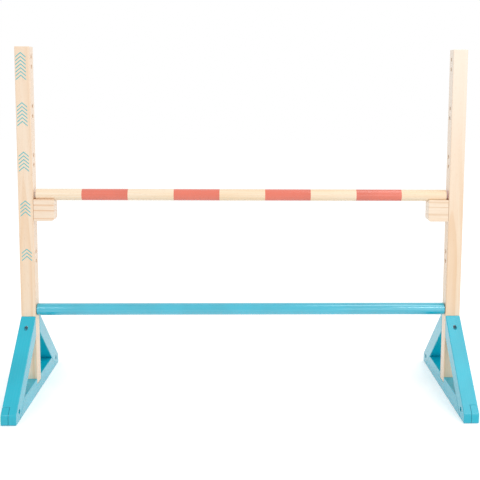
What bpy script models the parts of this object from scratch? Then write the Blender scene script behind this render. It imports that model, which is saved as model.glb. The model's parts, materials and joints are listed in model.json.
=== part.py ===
"""A wooden jump hurdle: two pine posts in half-lapped A-frame feet, a fixed crossbar, and a loose
striped pole on two peg-in rests that can be set at five heights.

+X runs along the bars, +Y points away from the jumper's side, +Z is up. The origin is on the floor,
midway between the posts. All lengths are in metres.
"""

from math import atan2, cos, pi, sin, tan

import bmesh
import bpy
from mathutils import Matrix, Vector

# Timber: the posts are square, and the feet are exactly as wide as the posts
POST_SIDE = 0.030
POST_ABOVE_LEVELS = 0.020
POST_EDGE = 0.0015
BAR_SPAN = 0.855

# Feet: a floor rail and two legs that lean on the post, half lapped at the toes
FOOT_LENGTH = 0.354
RAIL_HEIGHT = 0.032
RAIL_EDGE = 0.0015
HOUSING_DEPTH = 0.012
LEG_TOP = 0.167
LEG_DEPTH = 0.032
TOE_HEIGHT = 0.0195

# Bars
CROSSBAR_DIAMETER = 0.025
CROSSBAR_HEIGHT = 0.177
CROSSBAR_EDGE = 0.0015
POLE_DIAMETER = 0.024
POLE_EDGE = 0.0015
POLE_END_PLAY = 0.004
POLE_BANDS = 9

# Height setting: pairs of blind sockets, counted by the upper socket of each pair
LEVEL_COUNT = 5
LOWEST_LEVEL = 0.300
LEVEL_PITCH = 0.100
SOCKET_SPACING = 0.020
SOCKET_SPARE = 0.003
REST_LEVEL = 1

# Rests: a block with a saddle for the pole, and two glued pegs
REST_REACH = 0.042
REST_HEIGHT = 0.045
REST_TOP_ABOVE_SOCKET = 0.011
REST_CORNER = 0.0065
REST_EDGE = 0.001
SADDLE_DEPTH = 0.004
SADDLE_CLEARANCE = 0.0006
PEG_DIAMETER = 0.008
PEG_EDGE = 0.0008
PEG_IN_BLOCK = 0.016
PEG_IN_POST = 0.014

# Screws: countersunk heads at the bottom of round recesses, which are wider at the laps
HEAD_DIAMETER = 0.0070
HEAD_CONE = 0.0024
SHANK_DIAMETER = 0.004
TIP_LENGTH = 0.003
TIP_DIAMETER = 0.001
RECESS_CLEARANCE = 0.0005
LAP_RECESS_CLEARANCE = 0.0013
LEG_SCREW_FROM_TOP = 0.020
LEG_SCREW_GRIP = 0.013
LEG_SCREW_BITE = 0.011
LAP_SCREW_FROM_TOE = 0.024
LAP_SCREW_HEIGHT = 0.019
LAP_SCREW_SINK = 0.004
LAP_SCREW_COVER = 0.004
BAR_SCREW_SINK = 0.002
BAR_SCREW_BITE = 0.026
FOOT_SCREW_SINK = 0.004
FOOT_SCREW_BITE = 0.026

# Fits: touching pieces keep FIT all round, a cutter runs past the face it cuts by OVERCUT, and points
# of one mesh closer than WELD are one point
FIT = 0.0003
OVERCUT = 0.004
WELD = 0.000003

# Smoothness
BAR_SIDES = 48
PEG_SIDES = 24
SCREW_SIDES = 16
ARC_STEPS = 6
EDGE_SEGMENTS = 2
SMOOTH_ANGLE = pi / 5

# Worked out from the sizes above
HALF_POST = POST_SIDE / 2
POST_X = BAR_SPAN / 2 + HALF_POST
POST_FOOT = RAIL_HEIGHT - HOUSING_DEPTH
POST_TOP = LOWEST_LEVEL + (LEVEL_COUNT - 1) * LEVEL_PITCH + POST_ABOVE_LEVELS
SOCKET_DEPTH = PEG_IN_POST + SOCKET_SPARE
SOCKET_RADIUS = PEG_DIAMETER / 2 + FIT
FOOT_REACH = FOOT_LENGTH / 2
LEG_SEAT = HALF_POST + FIT
LEG_ANGLE = atan2(LEG_TOP - TOE_HEIGHT, FOOT_REACH - LEG_SEAT)
LEG_PLUMB_CUT = LEG_DEPTH / cos(LEG_ANGLE)
LEG_SCREW_HEIGHT = LEG_TOP - LEG_SCREW_FROM_TOP
RECESS_RADIUS = HEAD_DIAMETER / 2 + RECESS_CLEARANCE
LAP_RECESS_RADIUS = HEAD_DIAMETER / 2 + LAP_RECESS_CLEARANCE
POLE_RADIUS = POLE_DIAMETER / 2
REST_SOCKET = LOWEST_LEVEL + REST_LEVEL * LEVEL_PITCH
REST_TOP = REST_SOCKET + REST_TOP_ABOVE_SOCKET
POLE_HEIGHT = REST_TOP - SADDLE_DEPTH + POLE_RADIUS
SIDES = {"left": -1, "right": 1}
FACINGS = {"front": -1, "back": 1}

# Finishes: sRGB colour, roughness, metallic
FINISHES = {
    "pine": ((0.96, 0.86, 0.74), 0.55, 0.0),
    "foot_blue": ((0.27, 0.74, 0.83), 0.40, 0.0),
    "bar_blue": ((0.36, 0.76, 0.85), 0.35, 0.0),
    "coral": ((0.94, 0.50, 0.42), 0.40, 0.0),
    "screw_steel": ((0.55, 0.56, 0.58), 0.35, 1.0),
}


def linear(channel):
    """One sRGB channel as the linear value that the shader expects."""
    if channel <= 0.04045:
        return channel / 12.92
    return ((channel + 0.055) / 1.055) ** 2.4


def clear_scene():
    """Remove whatever objects the file opened with."""
    for obj in list(bpy.data.objects):
        bpy.data.objects.remove(obj, do_unlink=True)


def finish(name):
    """A Principled material for one of the hurdle's finishes, made once."""
    known = bpy.data.materials.get(name)
    if known:
        return known
    colour, roughness, metallic = FINISHES[name]
    material = bpy.data.materials.new(name)
    material.use_nodes = True
    shader = material.node_tree.nodes["Principled BSDF"]
    shader.inputs["Base Color"].default_value = (*(linear(c) for c in colour), 1.0)
    shader.inputs["Roughness"].default_value = roughness
    shader.inputs["Metallic"].default_value = metallic
    return material


def add_object(name, bm, finish_name):
    """Turn a finished bmesh into a named object with its material."""
    bmesh.ops.recalc_face_normals(bm, faces=bm.faces)
    mesh = bpy.data.meshes.new(name)
    bm.to_mesh(mesh)
    bm.free()
    mesh.materials.append(finish(finish_name))
    obj = bpy.data.objects.new(name, mesh)
    bpy.context.scene.collection.objects.link(obj)
    return obj


def add_origin(name, x):
    """An empty on the floor that carries the pieces of one side."""
    origin = bpy.data.objects.new(name, None)
    origin.location = (x, 0.0, 0.0)
    bpy.context.scene.collection.objects.link(origin)
    return origin


def extruded(name, outline, travel, finish_name):
    """A flat outline of points in space, pulled into a solid along a vector."""
    bm = bmesh.new()
    face = bm.faces.new([bm.verts.new(point) for point in outline])
    grown = bmesh.ops.extrude_face_region(bm, geom=[face])["geom"]
    moved = [v for v in grown if isinstance(v, bmesh.types.BMVert)]
    bmesh.ops.translate(bm, verts=moved, vec=travel)
    return add_object(name, bm, finish_name)


def prism(name, outline, start, end, finish_name):
    """A board: an outline of (y, z) points, extruded along X from start to end."""
    return extruded(name, [(start, y, z) for y, z in outline], (end - start, 0.0, 0.0), finish_name)


def rectangle(low, high):
    """The outline of a rectangle between two (y, z) corners."""
    return [low, (high[0], low[1]), high, (low[0], high[1])]


def turned(name, profile, sides, finish_name):
    """A round piece: a profile of (radius, height) points that starts and ends on the Z axis."""
    bm = bmesh.new()
    rim = [bm.verts.new((radius, 0.0, height)) for radius, height in profile]
    edges = [bm.edges.new(pair) for pair in zip(rim, rim[1:])]
    bmesh.ops.spin(bm, geom=rim + edges, cent=(0, 0, 0), axis=(0, 0, 1), angle=2 * pi, steps=sides)
    bmesh.ops.remove_doubles(bm, verts=bm.verts, dist=WELD)
    obj = add_object(name, bm, finish_name)
    smooth(obj)
    return obj


def smooth(obj):
    """Shade round faces smooth and keep the real edges sharp."""
    obj.data.shade_smooth()
    obj.data.set_sharp_from_angle(angle=SMOOTH_ANGLE)


def ease_edges(obj, width):
    """Round every edge of a board a little, as sanding does."""
    bevel = obj.modifiers.new("eased_edges", "BEVEL")
    bevel.width = width
    bevel.segments = EDGE_SEGMENTS
    bevel.limit_method = "ANGLE"


def cut(obj, cutter):
    """Cut obj with cutter, which stays hidden beside it."""
    cutter.hide_render = True
    cutter.display_type = "WIRE"
    boolean = obj.modifiers.new(cutter.name, "BOOLEAN")
    boolean.operation = "DIFFERENCE"
    boolean.solver = "EXACT"
    boolean.object = cutter


def aim(obj, direction):
    """Turn a round piece so that its +Z end faces a direction."""
    obj.rotation_euler = Vector(direction).to_track_quat("Z", "Y").to_euler()


def carry(obj, parent, location):
    """Hang obj under parent, at a place in the parent's frame."""
    obj.parent = parent
    obj.location = location


def rod_profile(diameter, length, edge):
    """A rod with chamfered ends, from height 0 up to its length."""
    radius = diameter / 2
    start = [(0, 0), (radius - edge, 0), (radius, edge)]
    end = [(radius, length - edge), (radius - edge, length), (0, length)]
    return start + end


def screw_profile(length):
    """A countersunk screw whose head's flat top is at height 0 and whose tip points down."""
    head, shank, tip = HEAD_DIAMETER / 2, SHANK_DIAMETER / 2, TIP_DIAMETER / 2
    point = [(0, -length), (tip, -length), (shank, TIP_LENGTH - length)]
    return [*point, (shank, -HEAD_CONE), (head, 0), (0, 0)]


def drill_profile(length, recess, radius):
    """The hole that a screw of that length sits in, with a recess of a radius above its head."""
    shank = SHANK_DIAMETER / 2 + FIT
    seat = HEAD_DIAMETER / 2 + FIT
    bore = [(0, -length - FIT), (shank, -length - FIT), (shank, -HEAD_CONE - FIT), (seat, -FIT)]
    return [*bore, (radius, -FIT), (radius, recess), (0, recess)]


def add_screw(name, length, recess, place, facing, parent, holds, recess_radius=RECESS_RADIUS):
    """A screw whose head faces a direction, and its hole in each piece that it holds together."""
    screw = turned(name, screw_profile(length), SCREW_SIDES, "screw_steel")
    outline = drill_profile(length, recess, recess_radius)
    drill = turned(name + "_drill", outline, SCREW_SIDES, "screw_steel")
    for piece in (screw, drill):
        carry(piece, parent, place)
        aim(piece, facing)
    for wood in holds:
        cut(wood, drill)


def leg_face_y(height):
    """How far from the post's centre the leg's outer face is, at a height."""
    return LEG_SEAT + (LEG_TOP - height) / tan(LEG_ANGLE)


def leg_back_y(height):
    """The same for the leg's inner face, which looks at the post's foot."""
    return LEG_SEAT + (LEG_TOP - LEG_PLUMB_CUT - height) / tan(LEG_ANGLE)


def facing_outline(points, facing):
    """An outline drawn for the back half of the foot, turned to face front or back."""
    return [(facing * y, z) for y, z in points]


def add_leg(name, side, facing, foot):
    """A leg: plumb cut against the post, square toe, and the inner half of the lap at the toe."""
    outline = [
        (LEG_SEAT, LEG_TOP),
        (FOOT_REACH, TOE_HEIGHT),
        (FOOT_REACH, 0.0),
        (leg_back_y(0.0), 0.0),
        (LEG_SEAT, LEG_TOP - LEG_PLUMB_CUT),
    ]
    leg = prism(name, facing_outline(outline, facing), -HALF_POST, HALF_POST, "foot_blue")
    ease_edges(leg, RAIL_EDGE)
    waste = rectangle(
        (leg_back_y(0.0) - LEG_PLUMB_CUT, -OVERCUT),
        (FOOT_REACH + OVERCUT, RAIL_HEIGHT + FIT),
    )
    outer_half = (-side * FIT / 2, side * (HALF_POST + OVERCUT))
    lap = prism(name + "_lap", facing_outline(waste, facing), *outer_half, "foot_blue")
    for piece in (leg, lap):
        carry(piece, foot, (0.0, 0.0, 0.0))
    cut(leg, lap)
    return leg


def add_floor_rail(name, side, foot):
    """The floor rail: notched for the post, its ends halved on the inner side for the legs."""
    shoulder = leg_face_y(RAIL_HEIGHT)
    outline = [
        (-FOOT_REACH, 0.0),
        (FOOT_REACH, 0.0),
        (FOOT_REACH, TOE_HEIGHT),
        (shoulder, RAIL_HEIGHT),
        (-shoulder, RAIL_HEIGHT),
        (-FOOT_REACH, TOE_HEIGHT),
    ]
    rail = prism(name, outline, -HALF_POST, HALF_POST, "foot_blue")
    carry(rail, foot, (0.0, 0.0, 0.0))
    ease_edges(rail, RAIL_EDGE)
    gap = FIT / sin(LEG_ANGLE)
    waste = [
        (leg_back_y(-OVERCUT) - gap, -OVERCUT),
        (FOOT_REACH + OVERCUT, -OVERCUT),
        (FOOT_REACH + OVERCUT, RAIL_HEIGHT + OVERCUT),
        (leg_back_y(RAIL_HEIGHT + OVERCUT) - gap, RAIL_HEIGHT + OVERCUT),
    ]
    inner_half = (side * FIT / 2, -side * (HALF_POST + OVERCUT))
    for place, facing in FACINGS.items():
        lap = prism(name + "_" + place + "_lap", facing_outline(waste, facing), *inner_half, "foot_blue")
        carry(lap, foot, (0.0, 0.0, 0.0))
        cut(rail, lap)
    notch = rectangle((-LEG_SEAT, POST_FOOT - FIT), (LEG_SEAT, RAIL_HEIGHT + OVERCUT))
    across = HALF_POST + OVERCUT
    housing = prism(name + "_housing", notch, -across, across, "foot_blue")
    carry(housing, foot, (0.0, 0.0, 0.0))
    cut(rail, housing)
    return rail


def add_socket_drills(name, inward):
    """The cutter for all of a post's sockets: one straight drill for each, from the inner face."""
    bm = bmesh.new()
    length = SOCKET_DEPTH + OVERCUT
    middle = inward * (HALF_POST - SOCKET_DEPTH + length / 2)
    across = Matrix.Rotation(pi / 2, 4, "Y")
    for level in range(LEVEL_COUNT):
        for drop in (0.0, SOCKET_SPACING):
            height = LOWEST_LEVEL + level * LEVEL_PITCH - drop
            bmesh.ops.create_cone(
                bm,
                cap_ends=True,
                segments=PEG_SIDES,
                radius1=SOCKET_RADIUS,
                radius2=SOCKET_RADIUS,
                depth=length,
                matrix=Matrix.Translation((middle, 0.0, height)) @ across,
            )
    return add_object(name, bm, "pine")


def add_post(name, side, foot):
    """A post with its pairs of blind peg sockets in the inner face."""
    section = rectangle((-HALF_POST, POST_FOOT), (HALF_POST, POST_TOP))
    post = prism(name, section, -HALF_POST, HALF_POST, "pine")
    carry(post, foot, (0.0, 0.0, 0.0))
    ease_edges(post, POST_EDGE)
    sockets = add_socket_drills(name + "_sockets", -side)
    carry(sockets, foot, (0.0, 0.0, 0.0))
    cut(post, sockets)
    return post


def add_leg_screw(name, facing, foot, leg, post):
    """The screw that pulls a leg against the post, deep in the leg's sloping face."""
    head = LEG_SEAT + LEG_SCREW_GRIP
    recess = leg_face_y(LEG_SCREW_HEIGHT - 2 * RECESS_RADIUS) - head
    place = (0.0, facing * head, LEG_SCREW_HEIGHT)
    add_screw(name, LEG_SCREW_GRIP + LEG_SCREW_BITE, recess, place, (0.0, facing, 0.0), foot, (leg, post))


def add_lap_screw(name, side, facing, foot, leg, rail):
    """The screw that closes the half lap at a toe, driven from the inner side."""
    length = POST_SIDE - LAP_SCREW_SINK - LAP_SCREW_COVER
    recess = LAP_SCREW_SINK + OVERCUT
    along = facing * (FOOT_REACH - LAP_SCREW_FROM_TOE)
    place = (-side * (HALF_POST - LAP_SCREW_SINK), along, LAP_SCREW_HEIGHT)
    holds = (leg, rail)
    add_screw(name, length, recess, place, (-side, 0.0, 0.0), foot, holds, LAP_RECESS_RADIUS)


def add_post_screw(name, foot, rail, post):
    """The screw that holds the post down in its housing, driven from below."""
    length = POST_FOOT - FOOT_SCREW_SINK + FOOT_SCREW_BITE
    recess = FOOT_SCREW_SINK + OVERCUT
    add_screw(name, length, recess, (0.0, 0.0, FOOT_SCREW_SINK), (0.0, 0.0, -1.0), foot, (rail, post))


def add_foot(label, side):
    """One end of the hurdle: post, floor rail, two legs, and the screws that hold them."""
    foot = add_origin(label + "_foot_origin", side * POST_X)
    post = add_post(label + "_post", side, foot)
    rail = add_floor_rail(label + "_floor_rail", side, foot)
    for place, facing in FACINGS.items():
        name = label + "_" + place
        leg = add_leg(name + "_leg", side, facing, foot)
        add_leg_screw(name + "_leg_screw", facing, foot, leg, post)
        add_lap_screw(name + "_lap_screw", side, facing, foot, leg, rail)
    add_post_screw(label + "_post_screw", foot, rail, post)
    return foot, post


def centred(profile, length):
    """A profile whose middle lies at height 0."""
    return [(radius, height - length / 2) for radius, height in profile]


def add_crossbar(feet):
    """The fixed lower bar, butted between the posts and screwed through them."""
    bar_length = BAR_SPAN - 2 * FIT
    outline = rod_profile(CROSSBAR_DIAMETER, bar_length, CROSSBAR_EDGE)
    bar = turned("crossbar", centred(outline, bar_length), BAR_SIDES, "bar_blue")
    bar.location = (0.0, 0.0, CROSSBAR_HEIGHT)
    aim(bar, (1.0, 0.0, 0.0))
    length = POST_SIDE - BAR_SCREW_SINK + BAR_SCREW_BITE
    recess = BAR_SCREW_SINK + OVERCUT
    for label, (foot, post) in feet.items():
        side = SIDES[label]
        place = (side * (HALF_POST - BAR_SCREW_SINK), 0.0, CROSSBAR_HEIGHT)
        add_screw(label + "_crossbar_screw", length, recess, place, (side, 0.0, 0.0), foot, (post, bar))


def add_pole():
    """The loose pole, turned as one rod with a ring of edges at each change of colour."""
    length = BAR_SPAN - 2 * POLE_END_PLAY
    outline = rod_profile(POLE_DIAMETER, length, POLE_EDGE)
    rings = [(POLE_RADIUS, length * band / POLE_BANDS) for band in range(1, POLE_BANDS)]
    half = len(outline) // 2
    profile = outline[:half] + rings + outline[half:]
    pole = turned("jump_pole", centred(profile, length), BAR_SIDES, "pine")
    pole.location = (0.0, 0.0, POLE_HEIGHT)
    aim(pole, (1.0, 0.0, 0.0))
    pole.data.materials.append(finish("coral"))
    for face in pole.data.polygons:
        band = int((face.center.z / length + 0.5) * POLE_BANDS)
        face.material_index = band % 2


def rest_outline():
    """The block seen from the front: x inwards from the post, z from the pegs' middle height."""
    top = REST_TOP_ABOVE_SOCKET + SOCKET_SPACING / 2
    bottom = top - REST_HEIGHT
    corner = [
        (
            REST_REACH - REST_CORNER + REST_CORNER * sin(pi / 2 * step / ARC_STEPS),
            bottom + REST_CORNER - REST_CORNER * cos(pi / 2 * step / ARC_STEPS),
        )
        for step in range(ARC_STEPS + 1)
    ]
    return [(FIT, bottom), *corner, (REST_REACH, top), (FIT, top)]


def add_rest(label, side):
    """A rest block with a round-bottomed saddle for the pole, and its two pegs."""
    name = label + "_rest"
    front = [(-side * x, -HALF_POST, z) for x, z in rest_outline()]
    rest = extruded(name, front, (0.0, POST_SIDE, 0.0), "pine")
    middle = REST_SOCKET - SOCKET_SPACING / 2
    rest.location = (side * BAR_SPAN / 2, 0.0, middle)
    ease_edges(rest, REST_EDGE)
    radius = POLE_RADIUS + SADDLE_CLEARANCE
    end = REST_REACH + OVERCUT
    profile = [(0, -OVERCUT), (radius, -OVERCUT), (radius, end), (0, end)]
    saddle = turned(name + "_saddle", profile, BAR_SIDES, "pine")
    carry(saddle, rest, (0.0, 0.0, POLE_HEIGHT - middle))
    aim(saddle, (-side, 0.0, 0.0))
    cut(rest, saddle)
    add_peg(name + "_upper_peg", side, SOCKET_SPACING / 2, rest)
    add_peg(name + "_lower_peg", side, -SOCKET_SPACING / 2, rest)


def add_peg(name, side, height, rest):
    """A glued dowel that stands out of the block's post side."""
    length = PEG_IN_BLOCK + PEG_IN_POST
    peg = turned(name, rod_profile(PEG_DIAMETER, length, PEG_EDGE), PEG_SIDES, "pine")
    hole_end = length + FIT
    drill = [(0, 0), (SOCKET_RADIUS, 0), (SOCKET_RADIUS, hole_end), (0, hole_end)]
    hole = turned(name + "_hole", drill, PEG_SIDES, "pine")
    for piece in (peg, hole):
        carry(piece, rest, (side * PEG_IN_POST, 0.0, height))
        aim(piece, (-side, 0.0, 0.0))
    cut(rest, hole)


def build_hurdle():
    """Model the whole hurdle."""
    clear_scene()
    feet = {label: add_foot(label, side) for label, side in SIDES.items()}
    add_crossbar(feet)
    add_pole()
    for label, side in SIDES.items():
        add_rest(label, side)


build_hurdle()
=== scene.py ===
"""The looks of a wooden jump hurdle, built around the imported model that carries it.

Two pine posts stand in blue A-frame feet that a fixed blue crossbar ties together. A loose pole with
coral bands lies on two rest blocks, whose pegs plug into sockets in the posts. Lengths are in metres,
the floor is at height 0, X runs along the bars and Y from the printed front to the back.
"""

import json
import logging
from collections.abc import Callable, Iterator, Mapping, Sequence
from contextlib import contextmanager
from dataclasses import dataclass
from enum import Enum
from functools import cache
from math import atan2, cos, pi, radians, sin, tan
from typing import NamedTuple

import bmesh
import bpy
from bpy.types import Material, Node, NodeSocket, NodeTree, Object
from mathutils import Matrix, Vector


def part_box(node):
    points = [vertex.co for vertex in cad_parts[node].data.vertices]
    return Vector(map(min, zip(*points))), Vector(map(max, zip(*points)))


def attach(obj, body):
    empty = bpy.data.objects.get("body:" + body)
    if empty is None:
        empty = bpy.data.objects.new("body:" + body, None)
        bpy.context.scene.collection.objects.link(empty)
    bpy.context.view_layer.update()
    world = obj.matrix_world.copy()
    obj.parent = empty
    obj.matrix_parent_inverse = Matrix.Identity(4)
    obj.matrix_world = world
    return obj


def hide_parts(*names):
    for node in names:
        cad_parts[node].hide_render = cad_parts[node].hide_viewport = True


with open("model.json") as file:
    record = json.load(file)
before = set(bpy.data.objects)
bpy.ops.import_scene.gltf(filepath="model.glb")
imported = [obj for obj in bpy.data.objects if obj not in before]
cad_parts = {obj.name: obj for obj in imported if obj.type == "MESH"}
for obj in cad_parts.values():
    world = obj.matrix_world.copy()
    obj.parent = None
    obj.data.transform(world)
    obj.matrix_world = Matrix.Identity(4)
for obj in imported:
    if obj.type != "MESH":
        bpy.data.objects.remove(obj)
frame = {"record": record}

LOG = logging.getLogger("jump_hurdle")

Pair = tuple[float, float]
Place = tuple[float, float, float]
Colour = tuple[float, float, float, float]
# A noise's lumps a metre along X, Y and Z, and its detail
Lumps = tuple[float, float, float, float]
# A smooth step's start and end and, where they aren't 1 and 0, its high and its low result
Step = tuple[float, ...]
Value = float | tuple[float, ...] | NodeSocket
Inputs = dict[str | int, Value]
Outputs = Mapping[str, NodeSocket]
Test = Callable[[Vector], bool]

ORIGIN = (0.0, 0.0, 0.0)
ALONG_BARS = (1, 0, 0)
SIDE_TO_SIDE = (-1, 1, 1)
FRONT_TO_BACK = (1, -1, 1)
UNCHANGED = (1, 1, 1)

# The play round a piece that fits into another, and how far a cutter reaches past what it cuts
FIT = 0.0003
OVERCUT = 0.004

# How near two points are merged, and how near a point counts as lying at a place
WELD = 0.000001
MATCH = 0.00002

MILLIMETRE = 0.001
TOE_HEIGHT = 0.0195
SMOOTH_ANGLE = radians(36)
CORNER_ANGLE = radians(50)
NOISE_MIDDLE = 0.5

# A Mix node's sockets for colours, by number
MIX_SHARE, MIX_UNDER, MIX_OVER, MIX_COLOUR = 0, 6, 7, 2

# The standard curve of a screen's colours, whose dark end is straight
SCREEN_WHITE = 255
STRAIGHT_END, STRAIGHT_SLOPE = 0.04045, 12.92
CURVE_LIFT, CURVE_POWER = 0.055, 2.4

FRAME_WIDTH = 480

RECORD = frame["record"]
BODY_OF = {node: body for body, nodes in RECORD["behaviour"]["bodies"].items() for node in nodes}


class Way(Enum):
    """A way out from the middle. The value is its sign."""

    @property
    def label(self) -> str:
        """The word for it in the names of the pieces."""
        return self.name.lower()


class Side(Way):
    """An end of the hurdle, along the bars."""

    LEFT = -1
    RIGHT = 1


class Facing(Way):
    """The way a leg runs from its post, across the hurdle."""

    FRONT = -1
    BACK = 1


def sawn_size(node: str) -> tuple[Vector, Vector]:
    """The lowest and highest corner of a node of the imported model."""
    low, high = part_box(node)
    return low, high


def rod_size(node: str) -> tuple[Vector, float, float]:
    """The size of a rod that runs along the bars.

    Args:
        node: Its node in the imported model.

    Returns:
        The middle of its left end, its radius and its length.
    """
    low, high = sawn_size(node)
    radius = (high.z - low.z) / 2
    return Vector((low.x, (low.y + high.y) / 2, low.z + radius)), radius, high.x - low.x


def leg_slope() -> float:
    """The angle between a leg and the floor, in radians, from the leg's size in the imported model."""
    low, high = sawn_size("right_back_leg")
    return atan2(high.z - TOE_HEIGHT, high.y - low.y)


LEG_SLOPE = leg_slope()


class Grain(Enum):
    """How the fibres of a piece run. The value turns them upright, about X, Y and Z, in radians."""

    UPRIGHT = ORIGIN
    ALONG_BARS = (0.0, -pi / 2, 0.0)
    FRONT_TO_BACK = (pi / 2, 0.0, 0.0)
    FRONT_LEG = (pi / 2 - LEG_SLOPE, 0.0, 0.0)
    BACK_LEG = (LEG_SLOPE - pi / 2, 0.0, 0.0)


class Rounding(NamedTuple):
    """How far a rounding reaches on each face, and how many faces it has."""

    width: float
    segments: int


# Bench work: the steps that shape every piece


def activate(piece: Object) -> None:
    """Select one piece and nothing else.

    Args:
        piece: The object to work on.
    """
    bpy.ops.object.select_all(action="DESELECT")
    piece.select_set(True)
    bpy.context.view_layer.objects.active = piece


@contextmanager
def editing(piece: Object, whole: bool = False) -> Iterator[None]:
    """Edit mode on the edges of one piece.

    Args:
        piece: The object to edit.
        whole: Whether all of it is selected at the start, and else nothing.

    Returns:
        The context to edit it in.
    """
    activate(piece)
    bpy.ops.object.mode_set(mode="EDIT")
    bpy.ops.mesh.select_mode(type="EDGE")
    bpy.ops.mesh.select_all(action="SELECT" if whole else "DESELECT")
    yield
    bpy.ops.object.mode_set(mode="OBJECT")


def pick(piece: Object, test: Test, level: bool = False) -> None:
    """Select the edges whose two ends pass a test, and nothing else, in edit mode.

    Args:
        piece: The object that is being edited.
        test: Takes an end of an edge and says whether it lies where it should.
        level: Whether both ends also have to lie at one height.
    """
    bpy.ops.mesh.select_all(action="DESELECT")
    mesh = bmesh.from_edit_mesh(piece.data)
    for edge in mesh.edges:
        start, end = (vert.co for vert in edge.verts)
        slanted = level and abs(start.z - end.z) >= MATCH
        edge.select_set(test(start) and test(end) and not slanted)
    bmesh.update_edit_mesh(piece.data)


def shift(travel: Sequence[float]) -> None:
    """Move what is selected along X, Y and Z."""
    bpy.ops.transform.translate(value=tuple(travel))


def pull(travel: Sequence[float]) -> None:
    """Extrude what is selected along X, Y and Z."""
    bpy.ops.mesh.extrude_region_move(TRANSFORM_OT_translate={"value": tuple(travel)})


def spread(ratios: Sequence[float], centre: Sequence[float] = ORIGIN) -> None:
    """Scale what is selected about a point that stays in place."""
    bpy.ops.transform.resize(value=tuple(ratios), center_override=tuple(centre))


def round_off(rounding: Rounding) -> None:
    """Round the selected edges."""
    bpy.ops.mesh.bevel(offset=rounding.width, segments=rounding.segments, affect="EDGES")


def fix_place(piece: Object) -> Object:
    """Put a piece's place, turn and scale into its mesh, so that it sits at the origin.

    Args:
        piece: The piece.

    Returns:
        The piece.
    """
    activate(piece)
    bpy.ops.object.transform_apply(location=True, rotation=True, scale=True)
    return piece


def start_piece(name: str) -> Object:
    """Name the primitive that was just added, and put its place into its mesh.

    Args:
        name: The new object's name.

    Returns:
        The object.
    """
    piece = bpy.context.active_object
    piece.name = piece.data.name = name
    return fix_place(piece)


def stand(piece: Object, place: Sequence[float], direction: Sequence[float]) -> Object:
    """Set a piece that was turned on the Z axis where it belongs.

    Args:
        piece: The piece, with its start at the origin.
        place: Where its origin goes.
        direction: Where its upper end points.

    Returns:
        The piece.
    """
    piece.rotation_euler = Vector(direction).to_track_quat("Z", "Y").to_euler()
    piece.location = place
    return fix_place(piece)


def saw_board(
    name: str, section: Sequence[float], length: float, middle: Sequence[float], tilt: float = 0.0
) -> Object:
    """A board sawn to length: its end, pulled along the board.

    Args:
        name: The piece's name.
        section: Its size along X and, before it is tilted, along Y.
        length: Its length.
        middle: Where its middle lies.
        tilt: How far it leans from upright about the X axis, in radians.

    Returns:
        The board.
    """
    bpy.ops.mesh.primitive_plane_add(size=1.0)
    board = start_piece(name)
    with editing(board, whole=True):
        spread((*section, 1.0))
        shift((0.0, 0.0, -length / 2))
        pull((0.0, 0.0, length))
    board.rotation_euler = (tilt, 0.0, 0.0)
    board.location = middle
    return fix_place(board)


def board_between(name: str, low: Vector, high: Vector) -> Object:
    """An upright board that fills the box between two corners."""
    size = high - low
    return saw_board(name, size.xy, size.z, (low + high) / 2)


def saw_off(board: Object, point: Sequence[float], away: Sequence[float]) -> None:
    """Saw a board through at a point, square to a direction, and drop the side that lies that way."""
    with editing(board, whole=True):
        bpy.ops.mesh.bisect(plane_co=tuple(point), plane_no=tuple(away), use_fill=True, clear_outer=True)


def turn(name: str, rings: Sequence[Pair], sides: int) -> Object:
    """A round piece, turned on the Z axis: a disc pulled from ring to ring.

    Args:
        name: The piece's name.
        rings: The radius and height of each ring, from the lower end to the upper one.
        sides: How many faces go round it.

    Returns:
        The piece, closed at both ends.
    """
    (radius, height), *others = rings
    bpy.ops.mesh.primitive_circle_add(vertices=sides, radius=radius, fill_type="NGON")
    piece = start_piece(name)
    with editing(piece, whole=True):
        shift((0.0, 0.0, height))
        for next_radius, next_height in others:
            pull((0.0, 0.0, next_height - height))
            ratio = next_radius / radius
            spread((ratio, ratio, 1.0), (0.0, 0.0, next_height))
            radius, height = next_radius, next_height
    return piece


def eased_end(radius: float, edge: Rounding) -> list[Pair]:
    """The rings of a rod's rounded lower end, from height 0 up to where the rod is straight."""
    angles = [pi / 2 * step / edge.segments for step in range(edge.segments + 1)]
    return [(radius - edge.width + edge.width * sin(a), edge.width - edge.width * cos(a)) for a in angles]


def upside_down(rings: Sequence[Pair], length: float) -> list[Pair]:
    """The rings of a rod's upper end, in order, from those of its lower end."""
    return [(radius, length - height) for radius, height in reversed(rings)]


def finish_with(piece: Object, kind: str, **settings: object) -> None:
    """Add a modifier to a piece and apply it.

    Args:
        piece: The piece.
        kind: The modifier's type.
        **settings: Its settings.
    """
    activate(piece)
    modifier = piece.modifiers.new(kind.lower(), kind)
    for key, value in settings.items():
        setattr(modifier, key, value)
    bpy.ops.object.modifier_apply(modifier=modifier.name)


def ease(piece: Object, edge: Rounding) -> None:
    """Round every sharp edge of a piece, as sanding does."""
    finish_with(piece, "BEVEL", **edge._asdict(), limit_method="ANGLE", angle_limit=CORNER_ANGLE)


def repeat(piece: Object, count: int, step: float) -> None:
    """Repeat a piece upwards.

    Args:
        piece: The piece.
        count: How many there are in all.
        step: How far each one lies above the one before it.
    """
    finish_with(
        piece, "ARRAY", count=count, use_relative_offset=False,
        use_constant_offset=True, constant_offset_displace=(0.0, 0.0, step),
    )


def cut(cutter: Object, *pieces: Object, operation: str = "DIFFERENCE") -> None:
    """Cut pieces with a cutter, or join it to them, and throw it away.

    Args:
        cutter: A closed shape.
        *pieces: The pieces that lose or gain what it fills.
        operation: "DIFFERENCE" to cut, and "UNION" to join.
    """
    for piece in pieces:
        finish_with(piece, "BOOLEAN", operation=operation, solver="EXACT", object=cutter)
    bpy.data.objects.remove(cutter)


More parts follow.
